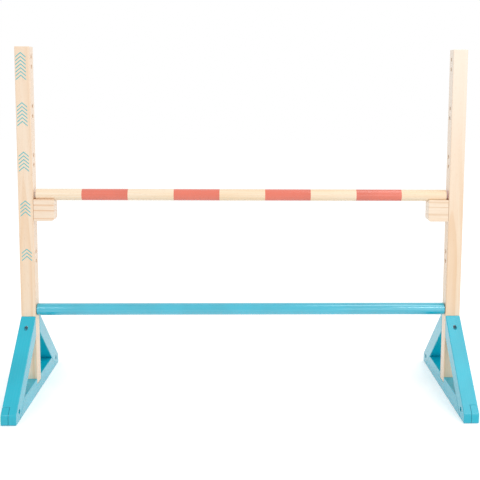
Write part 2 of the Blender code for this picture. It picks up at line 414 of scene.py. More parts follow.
def close_shell(piece: Object) -> Object:
    """Merge a piece's doubled points and turn its faces outwards.

    Args:
        piece: The piece.

    Returns:
        The piece.
    """
    with editing(piece, whole=True):
        bpy.ops.mesh.remove_doubles(threshold=WELD)
        bpy.ops.mesh.normals_make_consistent(inside=False)
    return piece


def copied(piece: Object, name: str, scale: Sequence[float] = SIDE_TO_SIDE) -> Object:
    """A copy of a piece with its own mesh, or its mirror image through the middle of the hurdle.

    Args:
        piece: The piece.
        name: The copy's name.
        scale: -1 along X or Y to mirror it that way, and 1 along the others.

    Returns:
        The copy.
    """
    twin = piece.copy()
    twin.data = piece.data.copy()
    twin.name = twin.data.name = name
    twin.scale = scale
    bpy.context.scene.collection.objects.link(twin)
    return close_shell(fix_place(twin))


def settle(piece: Object) -> None:
    """Close a piece's seams, turn its faces outwards and shade it smooth between its real edges.

    Args:
        piece: A finished piece.
    """
    close_shell(piece)
    bpy.ops.object.shade_smooth_by_angle(angle=SMOOTH_ANGLE)
    finish_with(piece, "WEIGHTED_NORMAL", keep_sharp=True)


# Node work: the helpers and shared effects that the finishes are drawn with


class NodeSheet:
    """A node tree that is being drawn."""

    def __init__(self, tree: NodeTree) -> None:
        """Start drawing on a tree."""
        self.tree = tree

    def fill(self, node: Node, inputs: Inputs) -> None:
        """Feed a node's sockets.

        Args:
            node: The node.
            inputs: What goes in, by the socket's name or number: another node's output, or a value.
        """
        for key, value in inputs.items():
            if isinstance(value, NodeSocket):
                self.tree.links.new(value, node.inputs[key])
            else:
                node.inputs[key].default_value = value

    def node(self, kind: str, inputs: Inputs | None = None, **settings: object) -> Outputs:
        """Add a node.

        Args:
            kind: The node's type, without the word ShaderNode.
            inputs: What goes into its sockets.
            **settings: The node's own settings.

        Returns:
            Its outputs.
        """
        node = self.tree.nodes.new("ShaderNode" + kind)
        for key, value in settings.items():
            setattr(node, key, value)
        self.fill(node, inputs or {})
        return node.outputs

    def place(self) -> NodeSocket:
        """The place on the piece, in metres."""
        return self.node("TexCoord")["Object"]

    def along(self, place: Value, axis: str) -> NodeSocket:
        """How far a place lies along one axis, X, Y or Z."""
        return self.node("SeparateXYZ", {0: place})[axis]

    def sum(self, operation: str, *terms: Value) -> NodeSocket:
        """The result of one Math node."""
        return self.node("Math", dict(enumerate(terms)), operation=operation)[0]

    def times(self, value: Value, factor: Value, more: Value | None = None) -> NodeSocket:
        """A value times a factor and, where it is given, plus something more."""
        terms = (value, factor) if more is None else (value, factor, more)
        return self.sum("MULTIPLY" if more is None else "MULTIPLY_ADD", *terms)

    def step(self, value: Value, start: Value, end: float, high: float = 1.0, low: float = 0.0) -> NodeSocket:
        """A smooth step from a low result to a high one, where a value goes from a start to an end."""
        inputs = {"Value": value, "From Min": start, "From Max": end, "To Min": low, "To Max": high}
        return self.node("MapRange", inputs, interpolation_type="SMOOTHSTEP")[0]

    def noise(self, place: Value, lumps: Lumps) -> NodeSocket:
        """Soft noise around a half.

        Args:
            place: Where it is read.
            lumps: How many lumps a metre has along X, Y and Z, and how much finer noise lies on them.

        Returns:
            The noise.
        """
        *scales, detail = lumps
        stretched = self.node("VectorMath", {0: place, 1: tuple(scales)}, operation="MULTIPLY")[0]
        return self.node("TexNoise", {"Vector": stretched, "Scale": 1.0, "Detail": detail})[0]

    def blend(self, mask: Value, under: Value, over: Value, strength: float = 1.0) -> NodeSocket:
        """One colour laid over another.

        Args:
            mask: Where the upper colour shows, from 0 to 1.
            under: The lower colour.
            over: The upper colour.
            strength: How far the upper colour covers where the mask is 1.

        Returns:
            The mixed colour.
        """
        share = mask if strength == 1.0 else self.times(mask, strength)
        inputs = {MIX_SHARE: share, MIX_UNDER: under, MIX_OVER: over}
        return self.node("Mix", inputs, data_type="RGBA")[MIX_COLOUR]

    def bump(self, height: Value, strength: float, depth: float) -> NodeSocket:
        """The normals of a surface with a relief."""
        return self.node("Bump", {"Strength": strength, "Distance": depth, "Height": height})[0]


@dataclass(frozen=True)
class Effect:
    """A node group that several finishes place. It is drawn once."""

    name: str
    values: tuple[str, ...] = ()

    @cache
    def tree(self) -> NodeTree:
        """The group, which takes a place and the effect's values.

        Returns:
            The group, drawn at the first call.
        """
        tree = bpy.data.node_groups.new(self.name, "ShaderNodeTree")
        tree.interface.new_socket(name="Place", in_out="INPUT", socket_type="NodeSocketVector")
        for value in self.values:
            tree.interface.new_socket(name=value, in_out="INPUT", socket_type="NodeSocketFloat")
        sheet = NodeSheet(tree)
        results = self.draw(sheet, tree.nodes.new("NodeGroupInput").outputs)
        for result in results:
            tree.interface.new_socket(name=result, in_out="OUTPUT", socket_type="NodeSocketFloat")
        sheet.fill(tree.nodes.new("NodeGroupOutput"), results)
        return tree

    def draw(self, sheet: NodeSheet, given: Outputs) -> Inputs:
        """Draw the nodes and name their results. Each effect has its own."""
        raise NotImplementedError

    def on(self, sheet: NodeSheet, **inputs: Value) -> Outputs:
        """The effect on a sheet, with what goes in by name."""
        return sheet.node("Group", inputs, node_tree=self.tree())


@dataclass(frozen=True)
class WoodGrain(Effect):
    """The grain inside a piece of wood, in a space whose Z axis is the heart of the tree."""

    name: str = "wood grain"
    values: tuple[str, ...] = ("Width", "Wander", "Summer")
    taper: float = 0.012
    bends: Lumps = (13.0, 13.0, 2.6, 2.0)
    ripples: Lumps = (110.0, 110.0, 9.0, 1.0)
    ripple_height: float = 0.0011
    good_spells: float = 0.55
    good_spell_growth: float = 1.4
    summer_end: float = 0.90
    winter: Step = (0.93, 1.0, 0.0, 1.0)
    ring_contrast: Pair = (0.65, 0.35)
    fibres: Lumps = (620.0, 620.0, 16.0, 3.0)
    pores: Lumps = (900.0, 900.0, 95.0, 1.0)
    pore_step: Step = (0.67, 0.76)
    drift: Lumps = (34.0, 34.0, 3.4, 1.0)

    def draw(self, sheet: NodeSheet, given: Outputs) -> Inputs:
        """Yearly rings round the heart, and fibres along it.

        Args:
            sheet: The group's sheet.
            given: The place, the rings' width, how far they wander, and when their late wood starts.

        Returns:
            The yearly rings, the fibres, the resin pores and a slow drift of tone.
        """
        place = given["Place"]
        apart = sheet.node("SeparateXYZ", {0: place})
        across = sheet.node("CombineXYZ", {0: apart["X"], 1: apart["Y"]})[0]
        reach = sheet.node("VectorMath", {0: across}, operation="LENGTH")["Value"]
        tapered = sheet.times(apart["Z"], self.taper, reach)
        bend = sheet.sum("SUBTRACT", sheet.noise(place, self.bends), NOISE_MIDDLE)
        wandered = sheet.times(bend, given["Wander"], tapered)
        ripple = sheet.sum("SUBTRACT", sheet.noise(place, self.ripples), NOISE_MIDDLE)
        rippled = sheet.times(ripple, self.ripple_height, wandered)
        count = sheet.sum("DIVIDE", rippled, given["Width"])
        spells = {"W": count, "Scale": self.good_spells, "Detail": 1.0}
        good_years = sheet.node("TexNoise", spells, noise_dimensions="1D")[0]
        years = sheet.times(good_years, self.good_spell_growth, count)
        season = sheet.sum("FRACT", years)
        year = {"W": sheet.sum("FLOOR", years)}
        lean_years = sheet.node("TexWhiteNoise", year, noise_dimensions="1D")["Value"]
        late = sheet.step(season, given["Summer"], self.summer_end)
        winter = sheet.step(season, *self.winter)
        return {
            "Rings": sheet.times(sheet.times(late, winter), sheet.times(lean_years, *self.ring_contrast)),
            "Fibres": sheet.noise(place, self.fibres),
            "Pores": sheet.step(sheet.noise(place, self.pores), *self.pore_step),
            "Drift": sheet.noise(place, self.drift),
        }


@dataclass(frozen=True)
class RubbedEdges(Effect):
    """Where hands and sanding have rubbed a piece's edges, and where painted pieces get a painted highlight
    along them.
    """

    name: str = "rubbed edges"
    radius: float = 0.0016
    samples: int = 6
    bend_step: Step = (0.998, 0.93)
    patches: Lumps = (90.0, 90.0, 90.0, 3.0)
    patch_step: Step = (0.30, 0.62, 1.0, 0.35)

    def draw(self, sheet: NodeSheet, given: Outputs) -> Inputs:
        """Where the surface bends, in patches.

        Args:
            sheet: The group's sheet.
            given: The place.

        Returns:
            1 along the edges and 0 on the flats.
        """
        rounded = sheet.node("Bevel", {"Radius": self.radius}, samples=self.samples)[0]
        flat = sheet.node("NewGeometry")["Normal"]
        agreement = sheet.node("VectorMath", {0: rounded, 1: flat}, operation="DOT_PRODUCT")["Value"]
        bent = sheet.step(agreement, *self.bend_step)
        uneven = sheet.step(sheet.noise(given["Place"], self.patches), *self.patch_step)
        return {"Edge": sheet.times(bent, uneven)}


@dataclass(frozen=True)
class SprayedCoat(Effect):
    """The surface of a sprayed coat of paint on wood."""

    name: str = "sprayed coat"
    values: tuple[str, ...] = ("Fibres",)
    peel: Lumps = (720.0, 720.0, 720.0, 1.0)
    peel_height: float = 0.45
    fibre_height: float = 0.75
    sheen: Lumps = (45.0, 45.0, 45.0, 3.0)
    tone: Lumps = (16.0, 16.0, 16.0, 2.0)

    def draw(self, sheet: NodeSheet, given: Outputs) -> Inputs:
        """The paint's own skin over the fibres.

        Args:
            sheet: The group's sheet.
            given: The place, and the wood's fibres.

        Returns:
            The coat's relief, its sheen and its slow change of tone.
        """
        place = given["Place"]
        fibres = sheet.times(given["Fibres"], self.fibre_height)
        return {
            "Relief": sheet.times(sheet.noise(place, self.peel), self.peel_height, fibres),
            "Sheen": sheet.noise(place, self.sheen),
            "Tone": sheet.noise(place, self.tone),
        }


GRAIN = WoodGrain()
EDGES = RubbedEdges()
COAT = SprayedCoat()


# Finishes


def linear(share: float) -> float:
    """A screen's share of a primary colour, from 0 to 1, as linear light."""
    curved = ((share + CURVE_LIFT) / (1 + CURVE_LIFT)) ** CURVE_POWER
    return share / STRAIGHT_SLOPE if share <= STRAIGHT_END else curved


def colour(*shades: int) -> Colour:
    """The red, green and blue of a screen, from 0 to 255, as a linear opaque colour."""
    return *(linear(shade / SCREEN_WHITE) for shade in shades), 1.0


@dataclass(frozen=True)
class Finish:
    """What all finishes share: a material that is made once and then reused."""

    name: str

    @cache
    def material(self) -> Material:
        """The finish as a material.

        Returns:
            The material, made at the first call.
        """
        made = bpy.data.materials.new(self.name)
        made.use_nodes = True
        sheet = NodeSheet(made.node_tree)
        sheet.fill(made.node_tree.nodes["Principled BSDF"], self.draw(sheet))
        return made

    def draw(self, sheet: NodeSheet) -> Inputs:
        """Draw the nodes on the material's sheet and name what goes into its shader."""
        raise NotImplementedError


@dataclass(frozen=True)
class Wooden(Finish):
    """What bare and painted wood share: the grain inside the board."""

    grain: Grain
    heart: Pair = (0.012, 0.055)
    ring_width: float = 0.0050
    wander: float = 0.012
    summer: float = 0.30
    seed: float = 0.0

    def read_grain(self, sheet: NodeSheet) -> tuple[Outputs, NodeSocket]:
        """Turn the grain along the piece and put the heart of the tree beside it.

        Args:
            sheet: The material's sheet.

        Returns:
            The grain, and the place in the grain's own space.
        """
        board = {"Vector": sheet.place(), "Rotation": self.grain.value, "Location": (*self.heart, self.seed)}
        place = sheet.node("Mapping", board)[0]
        grain = GRAIN.on(sheet, Place=place, Width=self.ring_width, Wander=self.wander, Summer=self.summer)
        return grain, place


@dataclass(frozen=True)
class BareWood(Wooden):
    """Planed and sanded wood with a thin matt oil and, where asked, a painted top light that makes it paler
    towards the top.
    """

    pale: Colour = colour(251, 231, 208)
    late: Colour = colour(244, 207, 170)
    warm: Colour = colour(248, 219, 188)
    pore: Colour = colour(206, 158, 112)
    warm_step: Step = (0.32, 0.70)
    streak_step: Step = (0.35, 0.75, 0.30)
    ring_strength: float = 0.90
    pore_strength: float = 0.28
    wear: float = 0.22
    # Painted light: a paler colour that the piece turns towards its top, the heights where it does, and how
    # far the drift makes that edge waver
    sapwood: Colour | None = None
    sap_step: Step = (0.05, 0.72, 0.5)
    sap_waver: float = 0.16
    roughness: float = 0.36
    ring_gloss: float = -0.10
    fibre_gloss: float = 0.12
    relief: float = 0.25
    relief_depth: float = 0.00012
    ring_height: float = 0.5
    pore_height: float = -0.8
    oil: float = 0.5
    oil_roughness: float = 0.22

    def draw(self, sheet: NodeSheet) -> Inputs:
        """Colour, gloss and relief from the grain, with a painted top light where one is given.

        Args:
            sheet: The material's sheet.

        Returns:
            What goes into its shader.
        """
        grain, place = self.read_grain(sheet)
        rings, fibres, pores, drift = (grain[name] for name in ("Rings", "Fibres", "Pores", "Drift"))
        body = sheet.blend(sheet.step(drift, *self.warm_step), self.pale, self.warm)
        streaked = sheet.blend(sheet.step(fibres, *self.streak_step), body, self.late)
        ringed_and_top_lit = sheet.blend(rings, streaked, self.late, self.ring_strength)
        # Painted light: paler towards the top of the piece, as if lit more from above
        if self.sapwood:
            height = sheet.along(sheet.place(), "Z")
            wavering = sheet.times(drift, self.sap_waver, sheet.sum("SUBTRACT", height, self.sap_waver / 2))
            ringed_and_top_lit = sheet.blend(sheet.step(wavering, *self.sap_step), ringed_and_top_lit, self.sapwood)
        pored = sheet.blend(pores, ringed_and_top_lit, self.pore, self.pore_strength)
        hard = sheet.times(rings, self.ring_gloss, self.roughness)
        height = sheet.times(pores, self.pore_height, sheet.times(rings, self.ring_height, fibres))
        return {
            "Base Color": sheet.blend(EDGES.on(sheet, Place=place)["Edge"], pored, self.warm, self.wear),
            "Roughness": sheet.times(fibres, self.fibre_gloss, hard),
            "Normal": sheet.bump(height, self.relief, self.relief_depth),
            "Coat Weight": self.oil,
            "Coat Roughness": self.oil_roughness,
        }


@dataclass(frozen=True)
class PaintedWood(Wooden):
    """Satin paint that lets the fibres of the wood be felt, paler along the edges: partly rubbed paint,
    partly a painted highlight.
    """

    tint: Colour = colour(10, 186, 210)
    # The paler tone of the grain's ghost and of the edges, which are partly rubbed paint and partly a painted
    # highlight
    rubbed: Colour = colour(84, 205, 224)
    # Painted shade: the darker colour laid in a ring round the ends of a bar, where it meets a post
    pooled: Colour = colour(6, 122, 138)
    depth: float = 0.90
    tone_step: Step = (0.30, 0.72)
    ghost: float = 0.05
    wear: float = 0.28
    # How far out along X the painted shade at a bar's ends starts and is full, and how strong it is there
    seam_step: Step | None = None
    roughness: float = 0.22
    sheen_waver: float = 0.12
    wear_roughness: float = 0.08
    relief: float = 0.15
    relief_depth: float = 0.0001
    lacquer: float = 0.25
    lacquer_roughness: float = 0.10
    lacquer_ior: float = 1.5

    def draw(self, sheet: NodeSheet) -> Inputs:
        """Colour, gloss and relief from the coat and the wood, a painted edge highlight and, where asked,
        painted seam shade.

        Args:
            sheet: The material's sheet.

        Returns:
            What goes into its shader.
        """
        grain, place = self.read_grain(sheet)
        edge = EDGES.on(sheet, Place=place)["Edge"]
        coat = COAT.on(sheet, Place=place, Fibres=grain["Fibres"])
        deep = (*(self.depth * share for share in self.tint[:3]), 1.0)
        toned = sheet.blend(sheet.step(coat["Tone"], *self.tone_step), self.tint, deep)
        ghosted = sheet.blend(grain["Rings"], toned, self.rubbed, self.ghost)
        # Paler along the edges: partly rubbed paint, partly a painted highlight
        worn_highlit_and_shaded = sheet.blend(edge, ghosted, self.rubbed, self.wear)
        # Painted shade: darker in a ring at each end of the bar, where it meets a post
        if self.seam_step:
            out = sheet.sum("ABSOLUTE", sheet.along(sheet.place(), "X"))
            worn_highlit_and_shaded = sheet.blend(sheet.step(out, *self.seam_step), worn_highlit_and_shaded, self.pooled)
        sheen = sheet.times(coat["Sheen"], self.sheen_waver, self.roughness - self.sheen_waver / 2)
        return {
            "Base Color": worn_highlit_and_shaded,
            "Roughness": sheet.times(edge, self.wear_roughness, sheen),
            "Normal": sheet.bump(coat["Relief"], self.relief, self.relief_depth),
            "Coat Weight": self.lacquer,
            "Coat Roughness": self.lacquer_roughness,
            "Coat IOR": self.lacquer_ior,
        }


@dataclass(frozen=True)
class PrintedInk(Wooden):
    """A thin printed ink that leaves some of the wood's pores open."""

    tint: Colour = colour(104, 194, 198)
    wood: Colour = colour(246, 214, 180)
    fibre_step: Step = (0.42, 0.25, 0.45)
    blotches: Lumps = (380.0, 380.0, 380.0, 2.0)
    blotch_step: Step = (0.40, 0.28, 0.35)
    bareness: float = 0.6
    roughness: float = 0.48
    fibre_gloss: float = 0.10
    relief: float = 0.3
    relief_depth: float = 0.0001

    def draw(self, sheet: NodeSheet) -> Inputs:
        """Ink over wood, thinner where the fibres dip.

        Args:
            sheet: The material's sheet.

        Returns:
            What goes into its shader.
        """
        grain, place = self.read_grain(sheet)
        fibres = grain["Fibres"]
        open_fibres = sheet.step(fibres, *self.fibre_step)
        blotch = sheet.step(sheet.noise(place, self.blotches), *self.blotch_step)
        bare = sheet.sum("MAXIMUM", sheet.sum("MAXIMUM", open_fibres, blotch), grain["Pores"])
        return {
            "Base Color": sheet.blend(bare, self.tint, self.wood, self.bareness),
            "Roughness": sheet.times(fibres, self.fibre_gloss, self.roughness),
            "Normal": sheet.bump(fibres, self.relief, self.relief_depth),
        }


@dataclass(frozen=True)
class ZincSteel(Finish):
    """Zinc plated steel, a little cloudy."""

    bright: Colour = colour(186, 189, 194)
    dull: Colour = colour(140, 143, 148)
    clouds: Lumps = (700.0, 700.0, 700.0, 4.0)
    cloud_step: Step = (0.35, 0.68)
    cloud_roughness: float = 0.25
    scratches: Lumps = (2400.0, 2400.0, 300.0, 2.0)
    scratch_roughness: float = 0.08
    roughness: float = 0.14
    relief: float = 0.15
    relief_depth: float = 0.00005

    def draw(self, sheet: NodeSheet) -> Inputs:
        """Clouds and fine scratches in the plating.

        Args:
            sheet: The material's sheet.

        Returns:
            What goes into its shader.
        """
        place = sheet.place()
        clouds, scratches = sheet.noise(place, self.clouds), sheet.noise(place, self.scratches)
        rough = sheet.times(scratches, self.scratch_roughness, self.roughness)
        return {
            "Base Color": sheet.blend(sheet.step(clouds, *self.cloud_step), self.bright, self.dull),
            "Metallic": 1.0,
            "Roughness": sheet.times(clouds, self.cloud_roughness, rough),
            "Normal": sheet.bump(scratches, self.relief, self.relief_depth),
        }


def hand_over(piece: Object, node: str, *finishes: Finish, added: bool = False) -> None:
    """Settle and dress a finished piece, and set it in the frame.

    Args:
        piece: The finished piece.
        node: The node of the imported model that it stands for, or lies on.
        *finishes: Its finishes, in the order of its faces' material numbers.
        added: Whether it is added to the node, and doesn't replace it.
    """
    settle(piece)
    for finish in finishes:
        piece.data.materials.append(finish.material())
    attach(piece, BODY_OF[node])
    if not added:
        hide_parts(node)
    LOG.info("%s, %s %s, %d faces", piece.name, "on" if added else "for", node, len(piece.data.polygons))


def hand_over_pair(right: Object, part: str, finishes: Sequence[Finish]) -> None:
    """Hand over a piece of the right side, and its mirror image first.

    Args:
        right: The finished piece of the right side.
        part: The name of its node, without the side.
        finishes: The finish of the left piece and that of the right one.
    """
    left = copied(right, right.name.replace("right", "left"))
    for side, piece, finish in zip(Side, (left, right), finishes):
        hand_over(piece, f"{side.label}_{part}", finish)


# Sub-assemblies


@dataclass
class WoodScrew:
    """A countersunk wood screw with a cross recess and a cut thread."""

    head: float = 0.0070
    cone: float = 0.0024
    rim_share: float = 1 / 12
    crest: float = 0.0040
    core: float = 0.0027
    pitch: float = 0.0018
    ridge_sides: int = 3
    ridge_share: float = 0.62
    point: float = 0.0040
    point_width: float = 0.0007
    bare_neck: float = 0.0030
    neck_share: float = 0.9
    cross_reach: float = 0.0042
    cross_wing: float = 0.0009
    cross_depth: float = 0.0019
    cross_taper: float = 0.45
    recess_clearance: float = 0.0005
    sides: int = 24
    bore_sides: int = 48
    finish: Finish = ZincSteel("zinc plated steel")

    def thread(self, length: float) -> Object:
        """The ridge that winds round the core.

        Args:
            length: The screw's whole length.

        Returns:
            A closed ridge.
        """
        turns = int((length - self.cone - self.bare_neck - self.point) / self.pitch)
        depth = (self.crest - self.core) / 2
        upright = (pi / 2, 0.0, 0.0)
        bpy.ops.mesh.primitive_circle_add(vertices=self.ridge_sides, radius=depth, rotation=upright)
        ridge = start_piece("thread")
        with editing(ridge, whole=True):
            bpy.ops.transform.rotate(value=-pi / 2, orient_axis="Y", center_override=ORIGIN)
            spread((1.0, 1.0, self.ridge_share))
            shift((self.crest / 2 - depth, 0.0, self.point - length))
        finish_with(
            ridge, "SCREW", axis="Z", screw_offset=self.pitch, iterations=turns,
            steps=self.sides, render_steps=self.sides, use_merge_vertices=True,
        )
        with editing(ridge):
            bpy.ops.mesh.select_non_manifold()
            bpy.ops.mesh.fill_holes(sides=self.ridge_sides)
        return close_shell(ridge)

    def cross(self) -> Object:
        """The cutter for the cross recess: a plus sign that narrows as it goes down.

        Returns:
            The cutter, with its top above the head.
        """
        wing = self.cross_wing
        bpy.ops.mesh.primitive_plane_add(size=wing, location=(0.0, 0.0, FIT))
        cutter = start_piece("cross")
        arm, limit = (self.cross_reach - wing) / 2, wing / 2 - WELD
        with editing(cutter):
            for x, y in ((1, 0), (-1, 0), (0, 1), (0, -1)):
                pick(cutter, lambda co: co.x * x + co.y * y > limit and abs(co.x * y + co.y * x) < wing)
                pull((x * arm, y * arm, 0.0))
            bpy.ops.mesh.select_all(action="SELECT")
            bpy.ops.mesh.remove_doubles(threshold=WELD)
            pull((0.0, 0.0, -self.cross_depth - FIT))
            spread((self.cross_taper, self.cross_taper, 1.0), (0.0, 0.0, -self.cross_depth))
        return close_shell(cutter)

    def build(self, length: float) -> Object:
        """One screw, with the flat of its head at height 0 and its point down.

        Args:
            length: Its whole length.

        Returns:
            The screw.
        """
        core, crest, head = self.core / 2, self.crest / 2, self.head / 2
        rings = [
            (self.point_width / 2, -length),
            (core, self.point - length),
            (core, -self.cone - self.bare_neck),
            (crest, -self.cone - self.bare_neck * self.neck_share),
            (crest, -self.cone),
            (head, -head * self.rim_share),
            (head, 0.0),
        ]
        screw = turn("screw", rings, self.sides)
        cut(self.thread(length), screw, operation="UNION")
        cut(self.cross(), screw)
        return screw

    def seat(self, node: str) -> tuple[Vector, Sequence[int], float]:
        """Where a screw's head lies.

        Args:
            node: The screw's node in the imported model.

        Returns:
            The middle of the head's flat, where the head looks, and the screw's length.
        """
        low, high = sawn_size(node)
        facing = screw_places()[node]
        length = abs((high - low).dot(Vector(facing)))
        return (low + high) / 2 + Vector(facing) * length / 2, facing, length

    def bore(self, node: str, sink: float, clearance: float | None = None) -> Object:
        """The cutter for a screw's hole and for the recess over its head.

        Args:
            node: The screw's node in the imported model.
            sink: How far the recess reaches out from the head.
            clearance: How much wider the recess is than the head, all round, if that isn't as usual.

        Returns:
            The cutter, in place.
        """
        place, facing, length = self.seat(node)
        shank, recess = self.crest / 2 + FIT, self.head / 2 + (clearance or self.recess_clearance)
        rings = [
            (shank, -length - FIT),
            (shank, -self.cone - FIT),
            (self.head / 2 + FIT, -FIT),
            (recess, -FIT),
            (recess, sink),
        ]
        return stand(turn(node + "_bore", rings, self.bore_sides), place, facing)

    def drive_all(self) -> None:
        """Build each length of screw once, and drive a copy of it wherever the hurdle has one."""
        masters: dict[int, Object] = {}
        for node in screw_places():
            place, facing, length = self.seat(node)
            key = round(length / MILLIMETRE)
            if key not in masters:
                masters[key] = self.build(length)
            screw = copied(masters[key], node + "_cut", UNCHANGED)
            hand_over(stand(screw, place, facing), node, self.finish)
        for master in masters.values():
            bpy.data.objects.remove(master)


def screw_places() -> dict[str, tuple[int, int, int]]:
    """Where the head of every screw looks, by the screw's node.

    Returns:
        A direction for each of the twelve screws.
    """
    places = {}
    for side in Side:
        for facing in Facing:
            places[f"{side.label}_{facing.label}_leg_screw"] = (0, facing.value, 0)
            places[f"{side.label}_{facing.label}_lap_screw"] = (-side.value, 0, 0)
        places[f"{side.label}_crossbar_screw"] = (side.value, 0, 0)
        places[f"{side.label}_post_screw"] = (0, 0, -1)
    return places


@dataclass
class Post:
    """A square post with pairs of blind sockets for the rests' pegs."""

    screw: WoodScrew
    edge: Rounding = Rounding(0.0015, 4)
    arris: Rounding = Rounding(0.00035, 2)
    lowest_level: float = 0.300
    level_pitch: float = 0.100
    level_count: int = 5
    socket_spacing: float = 0.020
    socket_width: float = 0.0086
    socket_depth: float = 0.017
    socket_sides: int = 32
    drill_angle: float = radians(59)
    drill_flat: float = 0.00002
    # Both posts are painted paler towards the top, as painted light from above, most on the right post
    finishes: tuple[BareWood, BareWood] = (
        BareWood(
            "pine of the left post", Grain.UPRIGHT, heart=(0.446, 0.040), ring_width=0.0062, seed=0.3,
            pale=colour(250, 229, 204), late=colour(239, 199, 156), warm=colour(247, 216, 182),
            sapwood=colour(250, 229, 208),
        ),
        BareWood(
            "pine of the right post", Grain.UPRIGHT, heart=(-0.434, 0.046), ring_width=0.0068, seed=1.7,
            pale=colour(247, 224, 197), late=colour(236, 197, 155), warm=colour(244, 212, 178),
            sapwood=colour(252, 238, 222), sap_step=(0.25, 0.74, 0.8),
        ),
    )

    def socket_drills(self, face: float) -> Object:
        """The cutter for all the sockets of the right post: one drill, repeated.

        Args:
            face: Where the post's inner face lies.

        Returns:
            The cutter.
        """
        radius = self.socket_width / 2
        tip = radius / tan(self.drill_angle)
        rings = [(self.drill_flat, -tip), (radius, 0.0), (radius, self.socket_depth + OVERCUT)]
        drills = turn("socket_drills", rings, self.socket_sides)
        lowest = self.lowest_level - self.socket_spacing
        stand(drills, (face + self.socket_depth, 0.0, lowest), (-1, 0, 0))
        repeat(drills, 2, self.socket_spacing)
        repeat(drills, self.level_count, self.level_pitch)
        return drills

    def build(self) -> None:
        """Saw, ease, drill and dress both posts."""
        low, high = sawn_size("right_post")
        post = board_between("right_post_board", low, high)
        ease(post, self.edge)
        cut(self.socket_drills(low.x), post)
        sinks = {"crossbar": OVERCUT, "post": FIT, "front_leg": FIT, "back_leg": FIT}
        for place, sink in sinks.items():
            cut(self.screw.bore(f"right_{place}_screw", sink), post)
        ease(post, self.arris)
        hand_over_pair(post, "post", self.finishes)


@dataclass
class Foot:
    """An A-frame foot: two legs half lapped onto a floor rail that houses the post."""

    screw: WoodScrew
    leg_depth: float = 0.032
    saw_waste: float = 0.128
    edge: Rounding = Rounding(0.0015, 4)
    toe_edge: Rounding = Rounding(0.0032, 5)
    arris: Rounding = Rounding(0.0008, 1)
    seam: float = 0.0008
    leg_recess: float = 0.040
    lap_recess: float = 0.008
    lap_clearance: float = 0.0013
    post_recess: float = 0.008
    paint_seed: float = 0.37

    def round_toe(self, board: Object, toe: float) -> None:
        """Round the upper and lower edge of a board's toe.

        Args:
            board: The board.
            toe: Where its toe lies along Y.
        """
        with editing(board):
            pick(board, lambda co: abs(co.y - toe) < MATCH, level=True)
            round_off(self.toe_edge)

    def leg(self) -> Object:
        """The right foot's back leg, before its screw holes.

        Returns:
            The leg, with the inner half of its lap.
        """
        low, high = sawn_size("right_back_leg")
        top, toe = Vector((0.0, low.y, high.z)), Vector((0.0, high.y, TOE_HEIGHT))
        outwards = Vector((0.0, sin(LEG_SLOPE), cos(LEG_SLOPE)))
        middle = (top + toe) / 2 - outwards * self.leg_depth / 2
        middle.x = (low.x + high.x) / 2
        section = (high.x - low.x, self.leg_depth)
        length = (top - toe).length + self.saw_waste
        leg = saw_board("right_back_leg_board", section, length, middle, pi / 2 - LEG_SLOPE)
        saw_off(leg, (0.0, low.y, 0.0), (0, -1, 0))
        saw_off(leg, ORIGIN, (0, 0, -1))
        saw_off(leg, (0.0, high.y, 0.0), (0, 1, 0))
        self.round_toe(leg, high.y)
        ease(leg, self.edge)
        rail_top = sawn_size("right_floor_rail")[1].z
        waste_low = Vector((middle.x - self.seam / 2, 0.0, -OVERCUT))
        waste_high = Vector((high.x + OVERCUT, high.y + OVERCUT, rail_top + FIT))
        cut(board_between("leg_lap", waste_low, waste_high), leg)
        return leg

    def rail(self) -> Object:
        """The right foot's floor rail, before its screw holes.

        Returns:
            The rail, with the outer halves of its laps and the housing for the post.
        """
        low, high = sawn_size("right_floor_rail")
        leg_low, leg_high = sawn_size("right_back_leg")
        across, up = sin(LEG_SLOPE), cos(LEG_SLOPE)
        rail = board_between("right_floor_rail_board", low, high)
        for way in Facing:
            toe = way.value * high.y
            saw_off(rail, (0.0, toe, TOE_HEIGHT), (0.0, way.value * across, up))
            self.round_toe(rail, toe)
        ease(rail, self.edge)
        waste_low = Vector((low.x - OVERCUT, 0.0, low.z - OVERCUT))
        waste_high = Vector(((low.x + high.x) / 2 + self.seam / 2, leg_high.y + OVERCUT, high.z + OVERCUT))
        waste = board_between("rail_lap", waste_low, waste_high)
        heel = leg_low.y + (leg_high.z - self.leg_depth / up) / tan(LEG_SLOPE) - FIT / across
        saw_off(waste, (0.0, heel, 0.0), (0.0, -across, -up))
        cut(copied(waste, "rail_front_lap", FRONT_TO_BACK), rail)
        cut(waste, rail)
        post_low, post_high = sawn_size("right_post")
        gap = Vector((OVERCUT, FIT, FIT))
        cut(board_between("housing", post_low - gap, post_high + gap), rail)
        return rail

    def build(self) -> None:
        """Saw, join, drill and dress both feet."""
        leg, rail = self.leg(), self.rail()
        front_leg = copied(leg, "right_front_leg_board", FRONT_TO_BACK)
        cut(self.screw.bore("right_post_screw", self.post_recess), rail)
        for facing, board in zip(Facing, (front_leg, leg)):
            name = f"right_{facing.label}"
            cut(self.screw.bore(name + "_leg_screw", self.leg_recess), board)
            cut(self.screw.bore(name + "_lap_screw", self.lap_recess, self.lap_clearance), board, rail)
        boards = {"front leg": front_leg, "back leg": leg, "floor rail": rail}
        grains = (Grain.FRONT_LEG, Grain.BACK_LEG, Grain.FRONT_TO_BACK)
        for (words, board), grain in zip(boards.items(), grains):
            ease(board, self.arris)
            paints = []
            for side in Side:
                name = f"blue paint of the {side.label} {words}"
                paints.append(PaintedWood(name, grain, seed=self.paint_seed * side.value))
            hand_over_pair(board, words.replace(" ", "_"), paints)


